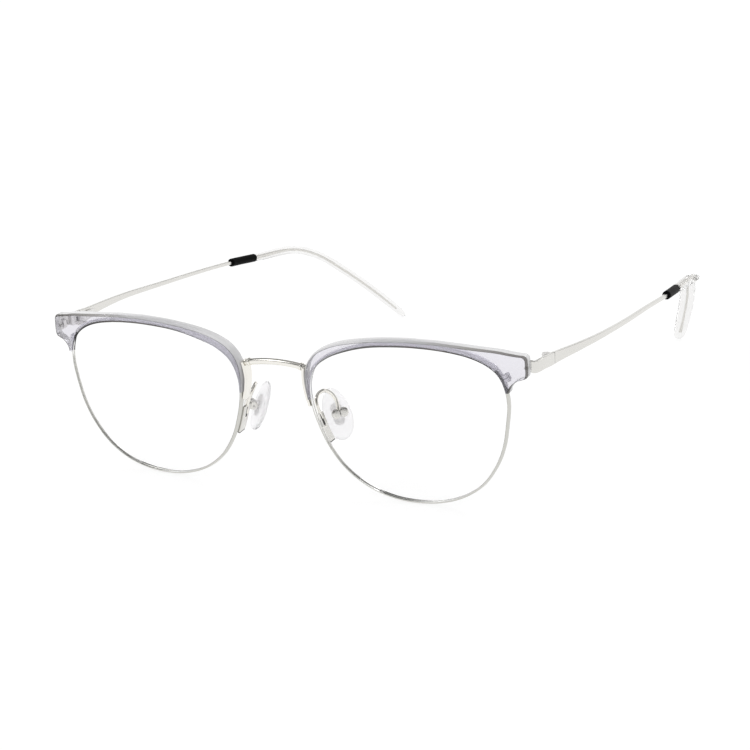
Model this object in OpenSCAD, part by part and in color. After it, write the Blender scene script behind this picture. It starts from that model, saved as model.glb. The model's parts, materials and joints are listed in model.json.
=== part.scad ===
// Browline spectacles with clear upper brows, thin metal rims and slim temples.
// The wearer's left side is +X, the front faces -Y, and the open spectacles
// stand on the rims and the temple tips. All sizes are in millimetres.

/* [Rims and lenses] */
// Width of one rim at its centre line
rim_width = 49; // [47:0.5:52]
// Height of one rim at its centre line
rim_height = 39; // [37:0.5:41]
// Gap between the two rims' centre lines
bridge_width = 19; // [18:0.5:21]
// Angle that each rim turns back at the temple side, in degrees
face_form = 3; // [1:0.5:5]
// Radius of the sphere that the front follows
front_radius = 140; // [120:5:200]
// Rim wire size across the lens plane
rim_thick = 0.6; // [0.6:0.05:0.8]
// Rim wire size along the line of sight
rim_depth = 1.2; // [1.1:0.05:1.4]
// Depth of the groove inside the rim
groove_depth = 0.28; // [0.2:0.02:0.3]
// Width of the groove inside the rim
groove_width = 0.7; // [0.6:0.05:0.8]
// Thickness of the lens
lens_thick = 1.5; // [1.2:0.1:1.8]
// Play between the lens and the rim
lens_play = 0.04; // [0.03:0.01:0.06]

/* [Brows] */
// Thickness of the clear brow from front to back
brow_depth = 2.4; // [2.3:0.1:3]
// Reach of the brow's lips over the rim
brow_lip = 0.3; // [0.2:0.05:0.4]
// Rounding along the outer edges of the brow
brow_round = 0.5; // [0.2:0.05:0.6]
// Play between the rim and the channel in the brow
channel_play = 0.06; // [0.05:0.01:0.08]

/* [Bridge and nose pads] */
// Diameter of the bridge wire
bridge_wire = 1.5; // [1.2:0.1:1.8]
// Rise of the bridge in its middle
bridge_rise = 0.8; // [0.5:0.1:1.5]
// Thickness of the flat bridge legs and pad arm feet
leg_thick = 0.7; // [0.6:0.05:0.75]
// Diameter of the pad arm wire
arm_wire = 0.9; // [0.8:0.05:1]
// Height of a nose pad
pad_height = 12.5; // [11:0.5:14]
// Width of a nose pad
pad_width = 6.75; // [6:0.25:7.5]
// Thickness of a nose pad
pad_thick = 1.9; // [1.7:0.1:2.4]
// Diameter of the screw that carries a nose pad
pad_screw_dia = 0.64; // [0.5:0.02:0.8]

/* [Hinges] */
// Outer diameter of the hinge barrels
barrel_dia = 2; // [1.9:0.05:2.1]
// Total height of the hinge barrels
barrel_height = 2.5; // [2.3:0.1:2.8]
// Diameter of the hinge screw
hinge_screw_dia = 1.2; // [1:0.05:1.3]
// Play between a screw and the bore that it fits
screw_play = 0.04; // [0.02:0.01:0.06]
// Play between the faces of neighbouring barrels
barrel_play = 0.06; // [0.04:0.01:0.1]

/* [Temples] */
// Reach of a temple from its hinge to the end of the tip
temple_reach = 124.5; // [116:0.5:130]
// Height of the temple strip at the hinge
strip_height = 2.75; // [2.6:0.05:3]
// Thickness of the temple strip
strip_thick = 0.9; // [0.8:0.05:1]
// Diameter of the dark sleeve in front of the tip
sleeve_dia = 2.2; // [2:0.1:2.6]
// Width of the clear tip, across the head
tip_width = 4; // [3.6:0.1:4.4]
// Thickness of the clear tip
tip_thick = 2.2; // [2:0.1:2.6]
// Play between the temple's core and the tip or sleeve on it
core_play = 0.04; // [0.03:0.01:0.06]

/* [Hidden] */

metal = [0.84, 0.83, 0.8];
crystal = [0.86, 0.86, 0.9, 0.6];
pad_clear = [0.95, 0.93, 0.95, 0.7];
lens_clear = [0.95, 0.97, 1, 0.3];
black = [0.05, 0.05, 0.05];

// Rim centre line seen from the front, from the temple side over the top
rim_points = [
    [24.5, 0], [25.4, 6.3], [24.6, 11.2], [22.6, 14.6], [18.4, 17.2], [12.5, 18.8],
    [5.8, 19.5], [-1, 19.5], [-8, 18.8], [-14, 17.1], [-18.8, 14.9], [-22.2, 11.9],
    [-23.8, 7.4], [-23.6, 2.4], [-22.2, -2.8], [-20, -7.9], [-16.4, -12.8],
    [-11.3, -16.6], [-5.4, -18.8], [0.6, -19.5], [7, -19], [12.8, -17.1],
    [17.8, -13.6], [21.4, -8.8], [23.4, -4.4]
];
rim_points_width = 49;
rim_points_height = 39;
rim_steps = 5;
// Length of the prisms that cut the rims and lenses out of the curved front
prism_length = 30;

// Outer edge of the brow: place along the rim, then across and up
brow_points = [
    [1.68, 26.1, 9.9], [1.84, 26.8, 11], [2, 27.9, 11.8], [2.14, 29.1, 12.15],
    [2.24, 29.95, 12.5], [2.32, 30.25, 13.3], [2.44, 30.3, 14.6], [2.56, 30.25, 15.9],
    [2.66, 30.15, 16.9], [2.76, 29.55, 17.5], [2.9, 28.4, 17.7], [3.15, 26.4, 18.1],
    [3.5, 23.6, 18.7], [4, 19.8, 19.2], [4.5, 15.8, 19.7], [5, 12, 20.1],
    [5.5, 8.7, 20.4], [6, 5.5, 20.5], [6.5, 2.3, 20.6], [7, -1, 20.5], [7.5, -4.6, 20.3],
    [8, -8.2, 19.9], [8.5, -11.5, 19.4], [9, -14.7, 18.7], [9.5, -17.5, 17.8],
    [10, -20.1, 16.6], [10.35, -21.7, 15.5], [10.7, -23, 14.1], [11, -23.9, 12.7],
    [11.5, -24.7, 10.3], [12, -24.85, 7.7], [12.35, -24.6, 5.9]
];
brow_start = 1.52;
brow_end = 12.65;
brow_start_reach = 0.75;
brow_end_reach = 0.6;
brow_substeps = 2;

// Middle line of a bridge leg down the nose side of the brow
leg_points = [
    [-24.95, 11.75], [-25.2, 10.3], [-25.35, 8.7], [-25.35, 7.3], [-25.15, 5.8],
    [-24.9, 4.4], [-24.5, 3.1], [-24.25, 2]
];
bridge_height = 11.05;
leg_depth_top = 3.2;
leg_depth_low = 2.6;
leg_set_back = 0.6;
leg_clip = 0.15;

// Pad arm foot along the rim, and the wire that loops from its root to the pad box
foot_start = 13.5;
foot_end = 14.8;
foot_depth = 2.6;
foot_shift = 0.25;
foot_gap = 0.06;
solder_gap = 0.02;
arm_root_place = 13.9;
arm_points = [
    [-0.15, 0.25, -0.05], [-0.5, 0.25, 1.65], [-1.1, 0.45, 3.35], [-1.6, 1.15, 4.85], [-1.7, 2.45, 5.75],
    [-1.2, 4.15, 5.95], [-0.3, 5.35, 5.05], [0.7, 5.65, 3.65], [1.4, 5.25, 2.15], [1.75, 4.75, 1.05]
];
// Place of the nose pad's screw from the same root, and its turn
pad_pivot = [1.3, 5.55, -0.15];
pad_turn = 44;
pad_tilt = -23.6;
pad_roll = -5;
ear_radius = 1.15;
ear_thick = 0.6;
lug_width = 1.5;
lug_radius = 0.85;
lug_gap = 0.05;
web_near = 1.3;
web_far = 1.8;
insert_plate = [2.6, 0.6, 5.4];
pad_seat = 1.35;
recess_play = 0.03;
pad_narrowing = 0.12;
pad_head_height = 0.36;
pad_slot_depth = 0.1;
// Reach of the cuts through the pad box, its screw slot and the insert's bore
pad_cut = 6;
pad_profile = [[0, 0.86], [0.1, 0.95], [0.4, 1], [0.65, 0.95], [0.85, 0.8], [1, 0.5]];
pad_sides = 28;

// Endpiece foot behind the corner of the brow's wing, then back to the hinge
bar_points = [[28.8, 14.4], [29.5, 14.4]];
bar_heights = [1.9, 2.4];
bend_points = [
    [0.6, -7.7, 1.25], [1.1, -6.8, 1.1], [1.38, -5.4, 0.85], [1.48, -3.6, 0.55],
    [1.5, -1.6, 0.2], [1.5, 0.35, -0.05]
];
bar_gap = 0.15;
bar_clip = 0.12;

// Lock of the rim: place along the rim, and the two blocks beside its split
lock_place = 2.2;
lock_gap = 0.12;
block_wide = 0.9;
block_tall = 0.8;
block_front = 0.3;
block_back = 1.85;
lock_screw_back = 1.1;
lock_screw_radius = 0.25;
lock_head_radius = 0.42;
lock_head_height = 0.3;
pocket_play = 0.12;
brow_screw_place = [29.3, 14.4];
brow_screw_radius = 0.3;
brow_screw_depth = 1.2;
brow_head_radius = 0.6;
brow_head_height = 0.3;
brow_head_gap = 0.16;

// Hinge point from the outer back corner of the wing, and the slope of its axis
wing_corner = [30, 14];
hinge_offset = [-0.1, 8.6, -1];
hinge_slope = 9;
leaf_thick = 0.5;
leaf_gap = 0.05;
leaf_start = 1.55;
leaf_overlap = 0.2;
middle_share = 0.38;
front_leaf = [3.6, 2.3];
temple_leaf = [6, 2];
barrel_drop = 0.3;
screw_head_radius = 0.95;
screw_head_height = 0.25;
slot_width = 0.25;
slot_depth = 0.2;

// Temple middle line from the hinge point: outwards, back and up
temple_points = [
    [1.5, 0.47, -0.07], [1.7, 4.5, -0.7], [2.7, 14.5, -2.1], [3.1, 24.5, -3.6],
    [2.5, 39.5, -6.1], [1.5, 54.5, -8.5], [0.45, 68.5, -11], [-1.25, 80.5, -13.4],
    [-3.4, 95.4, -16.5], [-7.4, 102.4, -20.4], [-10.8, 109.6, -27.2], [-15.4, 117.4, -36.2],
    [-20.3, 124.5, -45.9]
];
temple_points_reach = 124.5;
sleeve_start = 6;
sleeve_end = 7;
core_end = 11.72;
core_taper = 0.6;
core_end_play = 0.02;
strip_heights = [1, 0.9, 0.7, 0.57, 0.47, 0.4, 0.34];
core_height = 0.9;
core_width = 1;
core_flat = [0.7, 1.5];
core_clip = 0.2;
strip_clip = 0.15;
tip_sides = 16;

rim_scale = [rim_width / rim_points_width, rim_height / rim_points_height];
lens_x = bridge_width / 2 - rim_scale[0] * min([for (p = rim_points) p[0]]);
temple_scale = temple_reach / temple_points_reach;
screw_radius = hinge_screw_dia / 2;

// Smooth curve through neighbouring points
function blend(a, b, c, d, t) =
    0.5 * (2 * b + (c - a) * t + (2 * a - 5 * b + 4 * c - d) * t * t + (3 * b - a - 3 * c + d) * t * t * t);
function clamp_index(i, n) = max(0, min(n - 1, i));
function open_curve(points, s) =
    let (n = len(points), i = clamp_index(floor(s), n - 1), t = s - i)
    blend(
        i == 0 ? 2 * points[0] - points[1] : points[i - 1],
        points[i],
        points[i + 1],
        i + 2 > n - 1 ? 2 * points[n - 1] - points[n - 2] : points[i + 2],
        t
    );
function closed_curve(points, s) =
    let (n = len(points), i = floor(s), t = s - i)
    blend(points[(i + n - 1) % n], points[i % n], points[(i + 1) % n], points[(i + 2) % n], t);
function stretch(p) = [p[0] * rim_scale[0], p[1] * rim_scale[1]];
function unit(v) = v / norm(v);

// Rim outline, its outward normal and the same outline grown or shrunk
function rim_at(t) = stretch(closed_curve(rim_points, t));
function rim_normal(t) =
    let (d = rim_at(t + 0.02) - rim_at(t - 0.02 + (t < 0.02 ? len(rim_points) : 0)))
    unit([d[1], -d[0]]);
function rim_offset(t, grow) = rim_at(t) + grow * rim_normal(t);
function rim_outline(grow) =
    [for (i = [0 : len(rim_points) * rim_steps - 1]) rim_offset(i / rim_steps, grow)];

// Depth of the spherical front at a place, and a point in the front's frame
function depth_at(p, back) =
    front_radius - sqrt(pow(front_radius - back, 2) - p[0] * p[0] - p[1] * p[1]);
function front_point(p, back) =
    let (y = depth_at(p, back))
    [
        lens_x + p[0] * cos(face_form) - y * sin(face_form),
        p[0] * sin(face_form) + y * cos(face_form),
        p[1]
    ];

// Closed surface through rings of points, with both ends capped or joined up
module skin(rings, joined = false) {
    n = len(rings[0]);
    last = len(rings) - 1;
    sides = [
        for (i = [0 : joined ? last : last - 1], j = [0 : n - 1])
        let (a = i * n, b = ((i + 1) % (last + 1)) * n, k = (j + 1) % n)
        each [[a + j, b + j, b + k], [a + j, b + k, a + k]]
    ];
    caps = joined ? [] : [[for (j = [0 : n - 1]) j], [for (j = [n - 1 : -1 : 0]) last * n + j]];
    polyhedron([for (r = rings) each r], concat(sides, caps), convexity = 8);
}

// Flat section with clipped corners, and an oval section
function clipped(w, h, c) = [
    [w / 2, c - h / 2], [w / 2, h / 2 - c], [w / 2 - c, h / 2], [c - w / 2, h / 2],
    [-w / 2, h / 2 - c], [-w / 2, c - h / 2], [c - w / 2, -h / 2], [w / 2 - c, -h / 2]
];
function oval(w, h, n) = [for (i = [0 : n - 1]) [w / 2 * cos(360 * i / n), h / 2 * sin(360 * i / n)]];
function ring(at, along, section) =
    let (t = unit(along), up = unit([0, 0, 1] - t[2] * t), side = cross(up, t))
    [for (p = section) at + p[0] * side + p[1] * up];

module left_side() children();
module right_side() mirror([1, 0, 0]) children();

// Frame of one lens: across, back, up
module lens_frame() translate([lens_x, 0, 0]) rotate([0, 0, face_form]) children();
module prism(points) rotate([90, 0, 0]) linear_extrude(height = prism_length, center = true) polygon(points);
module ball(back) translate([0, front_radius, 0]) sphere(r = front_radius - back, $fn = 180);
module shell(front, back) difference() {
    ball(front);
    ball(back);
}

// Metal rim with a groove for the lens, split at the lock
module rim() color(metal) lens_frame() difference() {
    intersection() {
        difference() {
            prism(rim_outline(rim_thick / 2));
            prism(rim_outline(-rim_thick / 2));
        }
        shell(-rim_depth / 2, rim_depth / 2);
    }
    intersection() {
        prism(rim_outline(groove_depth - rim_thick / 2));
        shell(-groove_width / 2, groove_width / 2);
    }
    lock_frame() cube([4 * rim_thick, 4 * rim_depth, lock_gap], center = true);
}

module lens() color(lens_clear) lens_frame() {
    intersection() {
        prism(rim_outline(-rim_thick / 2 - lens_play));
        shell(-lens_thick / 2, lens_thick / 2);
    }
    intersection() {
        prism(rim_outline(groove_depth - rim_thick / 2 - lens_play));
        shell(lens_play - groove_width / 2, groove_width / 2 - lens_play);
    }
}

// Cross-section of the brow at one place: outer edge, then the channel for the rim
function brow_ring(t, outer) =
    let (
        b = brow_round,
        c = b * (1 - sqrt(0.5)),
        half = brow_depth / 2,
        wall = rim_depth / 2 + channel_play,
        inner = rim_offset(t, rim_thick / 2 - brow_lip),
        floor_line = rim_offset(t, rim_thick / 2 + channel_play),
        inward = unit(rim_at(t) - outer)
    )
    [
        front_point(inner, -half), front_point(outer + b * inward, -half),
        front_point(outer + c * inward, c - half), front_point(outer, b - half),
        front_point(outer, half - b), front_point(outer + c * inward, half - c),
        front_point(outer + b * inward, half), front_point(inner, half),
        front_point(inner, wall), front_point(floor_line, wall),
        front_point(floor_line, -wall), front_point(inner, -wall)
    ];
function brow_row(s) =
    let (p = open_curve(brow_points, s))
    [p[0], stretch([p[1], p[2]])];
brow_rings = concat(
    [brow_ring(brow_start, rim_offset(brow_start, brow_start_reach))],
    [
        for (i = [0 : (len(brow_points) - 1) * brow_substeps])
        let (row = brow_row(i / brow_substeps))
        brow_ring(row[0], row[1])
    ],
    [brow_ring(brow_end, rim_offset(brow_end, brow_end_reach))]
);

module brow() color(crystal) difference() {
    skin(brow_rings);
    lock_pocket();
    brow_screw_hole(brow_screw_radius + screw_play);
}

// Frame of the rim's lock: away from the lens, back, up along the rim
lock_at = rim_at(lock_place);
lock_out = rim_normal(lock_place);
module lock_frame()
    translate([lock_at[0], depth_at(lock_at, 0), lock_at[1]])
    rotate([0, -atan2(lock_out[1], lock_out[0]), 0]) children();
block_near = rim_thick / 2 + solder_gap;
module lock_pocket() lens_frame() lock_frame()
    translate([-rim_thick, -block_front - pocket_play, -block_tall - lock_head_height - pocket_play])
    cube([
        rim_thick + block_near + block_wide + pocket_play,
        2 * (block_front + block_back),
        2 * (block_tall + pocket_play) + lock_head_height
    ]);
module brow_screw_hole(radius) lens_frame() {
    place = stretch(brow_screw_place);
    translate([place[0], depth_at(place, brow_depth / 2) - brow_screw_depth, place[1]])
        rotate([-90, 0, 0]) cylinder(r = radius, h = 3 * brow_screw_depth, $fn = 32);
}

// Bridge wire with a flat leg at each end
bridge_end = front_point(stretch([leg_points[1][0], bridge_height]), leg_set_back);
bridge_arc = (bridge_end[0] * bridge_end[0] + bridge_rise * bridge_rise) / (2 * bridge_rise);
bridge_sweep = 2 * asin(bridge_end[0] / bridge_arc);
leg_rings = [
    for (i = [0 : 2 * (len(leg_points) - 1)])
    let (
        s = i / 2,
        at = front_point(stretch(open_curve(leg_points, s)), leg_set_back),
        next = front_point(stretch(open_curve(leg_points, s + 0.02)), leg_set_back),
        deep = leg_depth_top + (leg_depth_low - leg_depth_top) * min(1, s / 3),
        t = unit(next - at),
        back = unit([0, 1, 0] - t[1] * t),
        side = cross(back, t)
    )
    [for (p = clipped(leg_thick, deep, leg_clip)) at + p[0] * side + p[1] * back]
];
module bridge() color(metal) {
    skin(leg_rings);
    mirror([1, 0, 0]) skin(leg_rings);
    translate([0, bridge_end[1], bridge_end[2] + bridge_rise - bridge_arc])
        rotate([90, 0, 0]) rotate([0, 0, 90 - bridge_sweep / 2])
        rotate_extrude(angle = bridge_sweep, $fn = 360)
        translate([bridge_arc, 0]) circle(d = bridge_wire, $fn = 32);
}

// Flat foot behind the nose side of the rim with the looped wire of the pad arm
foot_set_back = rim_depth / 2 + foot_gap + foot_depth / 2;
foot_rings = [
    for (i = [0 : 8])
    let (
        s = foot_start + (foot_end - foot_start) * i / 8,
        at = front_point(rim_offset(s, foot_shift), foot_set_back),
        next = front_point(rim_offset(s + 0.02, foot_shift), foot_set_back),
        t = unit(next - at),
        back = unit([0, 1, 0] - t[1] * t),
        side = cross(back, t)
    )
    [for (p = clipped(leg_thick, foot_depth, leg_clip)) at + p[0] * side + p[1] * back]
];
arm_root = front_point(rim_offset(arm_root_place, foot_shift), foot_set_back);
arm_rings = [
    for (i = [0 : 3 * (len(arm_points) - 1)])
    let (
        s = i / 3,
        at = open_curve(arm_points, s),
        t = unit(open_curve(arm_points, s + 0.05) - open_curve(arm_points, s - 0.05)),
        flat = [cos(pad_turn), sin(pad_turn), 0],
        up = unit(flat - (flat * t) * t),
        side = cross(up, t)
    )
    [for (p = oval(arm_wire, arm_wire, 12)) arm_root + at + p[0] * side + p[1] * up]
];
module pad_arm() color(metal) {
    skin(foot_rings);
    difference() {
        skin(arm_rings);
        pad_frame() box_body(solder_gap);
    }
}

// Frame of the nose pad's screw: along the screw, towards the nose, up
pad_place = arm_root + pad_pivot;
module pad_frame()
    translate(pad_place) rotate([0, 0, pad_turn]) rotate([pad_tilt, 0, 0]) rotate([0, pad_roll, 0])
    children();
module across(r, h) rotate([0, 90, 0]) cylinder(r = r, h = h, center = true, $fn = 40);

gap_width = lug_width + 2 * lug_gap;
box_width = gap_width + 2 * ear_thick;
module box_body(grow) {
    wide = box_width + 2 * grow;
    across(ear_radius + grow, wide);
    high = 2 * (ear_radius + grow);
    translate([-wide / 2, -web_far - grow, -high / 2]) cube([wide, web_far + grow, high]);
}
module pad_box() color(metal) pad_frame() difference() {
    box_body(0);
    translate([-gap_width / 2, -web_near, -pad_cut]) cube([gap_width, 2 * pad_cut, 2 * pad_cut]);
    across(pad_screw_dia / 2 + screw_play, box_width + pad_cut);
}
module pad_screw() color(metal) pad_frame() difference() {
    union() {
        across(pad_screw_dia / 2, box_width + 2 * screw_play);
        translate([box_width / 2 + screw_play, 0, 0])
            rotate([0, 90, 0]) cylinder(r = pad_screw_dia, h = pad_head_height, $fn = 40);
    }
    translate([box_width / 2 + screw_play + pad_head_height, 0, 0])
        cube([2 * pad_slot_depth, slot_width, pad_cut], center = true);
}
module stadium(w, deep, tall) {
    translate([-w / 2, 0, w / 2 - tall / 2]) cube([w, deep, tall - w]);
    for (z = [-1, 1]) translate([0, 0, z * (tall - w) / 2])
        rotate([-90, 0, 0]) cylinder(d = w, h = deep, $fn = 40);
}
module pad_insert() color(metal) pad_frame() difference() {
    union() {
        across(lug_radius, lug_width);
        translate([-lug_width / 2, 0, -lug_radius])
            cube([lug_width, pad_seat + insert_plate[1] / 2, 2 * lug_radius]);
        translate([0, pad_seat, 0]) stadium(insert_plate[0], insert_plate[1], insert_plate[2]);
    }
    across(pad_screw_dia / 2 + screw_play, pad_cut);
}
function pad_ring(y, size) = [
    for (i = [0 : pad_sides - 1])
    let (a = 360 * i / pad_sides, narrow = 1 - pad_narrowing * cos(a))
    [pad_width / 2 * size * narrow * sin(a), y, pad_height / 2 * size * cos(a)]
];
module nose_pad() color(pad_clear) pad_frame() difference() {
    translate([0, pad_seat, 0]) skin([for (p = pad_profile) pad_ring(p[0] * pad_thick, p[1])]);
    translate([0, pad_seat - pad_thick, 0]) stadium(
        insert_plate[0] + 2 * recess_play,
        insert_plate[1] + pad_thick + recess_play,
        insert_plate[2] + 2 * recess_play
    );
}

// Hinge point at the middle of the barrels
hinge_point = front_point(stretch(wing_corner), brow_depth / 2) + hinge_offset;
module hinge_frame()
    translate(hinge_point) rotate([-hinge_slope, 0, 0]) translate([0, 0, -barrel_drop]) children();

// Endpiece: bar on the back of the brow, bend, and strip to the hinge
bar_set_back = brow_depth / 2 + bar_gap + strip_thick / 2;
bar_line = concat(
    [for (p = bar_points) front_point(stretch(p), bar_set_back)],
    [for (p = bend_points) hinge_point + p]
);
bar_sizes = concat(bar_heights, [for (p = bend_points) strip_height]);
bar_rings = [
    for (i = [0 : 2 * (len(bar_line) - 1)])
    let (
        s = i / 2,
        along = open_curve(bar_line, s + 0.05) - open_curve(bar_line, s - 0.05),
        high = min(strip_height, open_curve(bar_sizes, s))
    )
    ring(open_curve(bar_line, s), along, clipped(strip_thick, high, bar_clip))
];
module lock_block(from) lens_frame() lock_frame()
    translate([block_near, -block_front, from])
    cube([block_wide, block_front + block_back, block_tall - lock_gap / 2]);
module lock_screw_frame() lens_frame() lock_frame()
    translate([block_near + block_wide / 2, lock_screw_back, -block_tall]) children();
module lock_bore() lock_screw_frame()
    translate([0, 0, -block_tall])
    cylinder(r = lock_screw_radius + screw_play, h = 4 * block_tall, $fn = 32);
module endpiece() color(metal) difference() {
    skin(bar_rings);
    brow_screw_hole(brow_screw_radius + screw_play);
}
module rim_block() color(metal) difference() {
    lock_block(lock_gap / 2);
    lock_bore();
}
module rim_lock() color(metal) difference() {
    lock_block(-block_tall);
    lock_bore();
}
module lock_screw() color(metal) lock_screw_frame() {
    cylinder(r = lock_screw_radius, h = 2 * block_tall - lock_head_height, $fn = 32);
    translate([0, 0, -lock_head_height]) difference() {
        cylinder(r = lock_head_radius, h = lock_head_height, $fn = 32);
        cube([4 * lock_head_radius, slot_width, 2 * slot_depth], center = true);
    }
}
module brow_screw() color(metal) lens_frame() {
    place = stretch(brow_screw_place);
    seat = depth_at(place, brow_depth / 2 + bar_gap + strip_thick) + brow_head_gap;
    start = depth_at(place, brow_depth / 2) - brow_screw_depth + bar_gap;
    translate([place[0], start, place[1]])
        rotate([-90, 0, 0]) cylinder(r = brow_screw_radius, h = seat - start, $fn = 32);
    difference() {
        translate([place[0], seat, place[1]])
            rotate([-90, 0, 0]) cylinder(r = brow_head_radius, h = brow_head_height, $fn = 32);
        translate([place[0], seat + brow_head_height, place[1]])
            cube([4 * brow_head_radius, 2 * slot_depth, slot_width], center = true);
    }
}

// Three barrels round one screw: two on the front, the middle one on the temple
barrel_radius = barrel_dia / 2;
middle_height = barrel_height * middle_share;
side_height = (barrel_height - middle_height) / 2 - barrel_play;
leaf_face = temple_points[0][0] - strip_thick / 2 - leaf_gap;
module barrel(z, h, way) {
    translate([0, 0, z]) cylinder(r = barrel_radius, h = h, $fn = 48);
    reach = leaf_start + leaf_overlap;
    translate([0, way > 0 ? 0 : -reach, z]) cube([leaf_face, reach, h]);
}
module leaf(way, size)
    translate([leaf_face - leaf_thick, way > 0 ? leaf_start : -size[0], -size[1] / 2])
    cube([leaf_thick, size[0] - leaf_start, size[1]]);
module front_hinge() color(metal) hinge_frame() difference() {
    union() {
        barrel(middle_height / 2 + barrel_play, side_height, -1);
        barrel(-middle_height / 2 - barrel_play - side_height, side_height, -1);
        leaf(-1, front_leaf);
    }
    cylinder(r = screw_radius + screw_play, h = 2 * barrel_height, center = true, $fn = 48);
}
module temple_hinge() color(metal) hinge_frame() difference() {
    union() {
        barrel(-middle_height / 2, middle_height, 1);
        leaf(1, temple_leaf);
    }
    cylinder(r = screw_radius + screw_play, h = 2 * barrel_height, center = true, $fn = 48);
}
module hinge_screw() color(metal) hinge_frame() difference() {
    union() {
        cylinder(r = screw_radius, h = barrel_height + screw_head_height, center = true, $fn = 48);
        translate([0, 0, barrel_height / 2]) cylinder(r = screw_head_radius, h = screw_head_height, $fn = 48);
    }
    translate([0, 0, barrel_height / 2 + screw_head_height])
        cube([2 * barrel_dia, slot_width, 2 * slot_depth], center = true);
}

// Temple line and its sections
function temple_at(s) =
    let (p = open_curve(temple_points, s))
    hinge_point + [p[0], p[1] * temple_scale, p[2] * temple_scale];
function temple_along(s) = temple_at(s + 0.03) - temple_at(s - 0.03);
function core_size(s) =
    let (f = max(0, s - core_end + core_taper) / core_taper)
    [core_width + (core_flat[1] - core_width) * f, core_height + (core_flat[0] - core_height) * f];
function strip_section(s) =
    s <= sleeve_start
        ? let (h = strip_height * open_curve(strip_heights, s)) clipped(strip_thick, h, strip_clip)
        : clipped(core_size(s)[0], core_size(s)[1], core_clip);
core_stations = concat(
    [for (i = [1 : 4]) sleeve_start + i / 4],
    [for (i = [1 : 18]) sleeve_end + i / 4],
    [core_end]
);
strip_stations = concat([for (i = [0 : 7]) i / 4], [for (i = [6 : 3 * sleeve_start]) i / 3]);
module temple() color(metal)
    skin([
        for (s = concat(strip_stations, core_stations)) ring(temple_at(s), temple_along(s), strip_section(s))
    ]);
function tube_ring(s, w, h) = ring(temple_at(s), temple_along(s), oval(w, h, tip_sides));
function hole_ring(s) =
    let (
        size = core_size(s) + [2 * core_play, 2 * core_play],
        n = tip_sides / 8,
        corner = clipped(size[0], size[1], core_clip)
    )
    ring(
        temple_at(s),
        temple_along(s),
        [for (i = [0 : 7], k = [0 : n - 1]) corner[i] + (corner[(i + 1) % 8] - corner[i]) * k / n]
    );
module sleeve() color(black) skin(
    concat(
        [for (i = [0 : 4]) tube_ring(sleeve_start + i / 4, sleeve_dia, sleeve_dia)],
        [for (i = [4 : -1 : 0]) hole_ring(sleeve_start + i / 4)]
    ),
    joined = true
);
tip_profile = [
    [7, 0.68, 0.88], [7.1, 0.74, 0.92], [7.25, 0.8, 0.94], [7.5, 0.86, 0.95], [7.75, 0.91, 0.95],
    [8, 0.95, 0.95], [8.25, 0.98, 0.95], [8.5, 1, 0.96], [8.75, 1, 0.96], [9, 1, 0.97],
    [9.25, 1, 0.97], [9.5, 1, 0.98], [9.75, 1, 0.99], [10, 1, 1], [10.25, 1, 1], [10.5, 1, 1],
    [10.75, 0.99, 1.02], [11, 0.98, 1.03], [11.25, 0.96, 1.03], [11.5, 0.92, 1.01],
    [11.7, 0.86, 0.96], [11.85, 0.75, 0.86], [11.94, 0.58, 0.68], [12, 0.3, 0.36]
];
module tip() color(crystal) skin(concat(
    [hole_ring(core_end + core_end_play)],
    [for (i = [18 : -1 : 0]) hole_ring(sleeve_end + i / 4)],
    [for (p = tip_profile) tube_ring(p[0], tip_width * p[1], tip_thick * p[2])]
));

// The lean that sets the open spectacles on the rims and the tips
rim_low_points = [for (p = rim_outline(rim_thick / 2)) front_point(p, -rim_depth / 2)];
tip_low_points = [for (p = tip_profile) each tube_ring(p[0], tip_width * p[1], tip_thick * p[2])];
function low_of(points, a) = min([for (p = points) p[2] * cos(a) + p[1] * sin(a)]);
function lean_step(a, b) =
    let (
        fa = low_of(rim_low_points, a) - low_of(tip_low_points, a),
        fb = low_of(rim_low_points, b) - low_of(tip_low_points, b)
    )
    b - fb * (b - a) / (fb - fa);
lean_guess = lean_step(5, 6);
lean = lean_step(6, lean_guess);
front_line = min([for (r = brow_rings, p = r) p[1] * cos(lean) - p[2] * sin(lean)]);
back_line = max([for (p = tip_low_points) p[1] * cos(lean) - p[2] * sin(lean)]);
stand_shift = [0, -(front_line + back_line) / 2, -low_of(rim_low_points, lean)];
module stand() translate(stand_shift) rotate([lean, 0, 0]) children();

echo(lean = lean, shift = stand_shift, hinge = hinge_point, pad = pad_place);

stand() left_side() rim();  // rim_left
stand() right_side() rim();  // rim_right
stand() left_side() lens();  // lens_left
stand() right_side() lens();  // lens_right
stand() left_side() brow();  // brow_left
stand() right_side() brow();  // brow_right
stand() bridge();
stand() left_side() pad_arm();  // pad_arm_left
stand() right_side() pad_arm();  // pad_arm_right
stand() left_side() pad_box();  // pad_box_left
stand() right_side() pad_box();  // pad_box_right
stand() left_side() pad_screw();  // pad_screw_left
stand() right_side() pad_screw();  // pad_screw_right
stand() left_side() pad_insert();  // pad_insert_left
stand() right_side() pad_insert();  // pad_insert_right
stand() left_side() nose_pad();  // nose_pad_left
stand() right_side() nose_pad();  // nose_pad_right
stand() left_side() endpiece();  // endpiece_left
stand() right_side() endpiece();  // endpiece_right
stand() left_side() rim_block();  // rim_block_left
stand() right_side() rim_block();  // rim_block_right
stand() left_side() rim_lock();  // rim_lock_left
stand() right_side() rim_lock();  // rim_lock_right
stand() left_side() lock_screw();  // lock_screw_left
stand() right_side() lock_screw();  // lock_screw_right
stand() left_side() brow_screw();  // brow_screw_left
stand() right_side() brow_screw();  // brow_screw_right
stand() left_side() front_hinge();  // front_hinge_left
stand() right_side() front_hinge();  // front_hinge_right
stand() left_side() hinge_screw();  // hinge_screw_left
stand() right_side() hinge_screw();  // hinge_screw_right
stand() left_side() temple_hinge();  // temple_hinge_left
stand() right_side() temple_hinge();  // temple_hinge_right
stand() left_side() temple();  // temple_left
stand() right_side() temple();  // temple_right
stand() left_side() sleeve();  // sleeve_left
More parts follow.
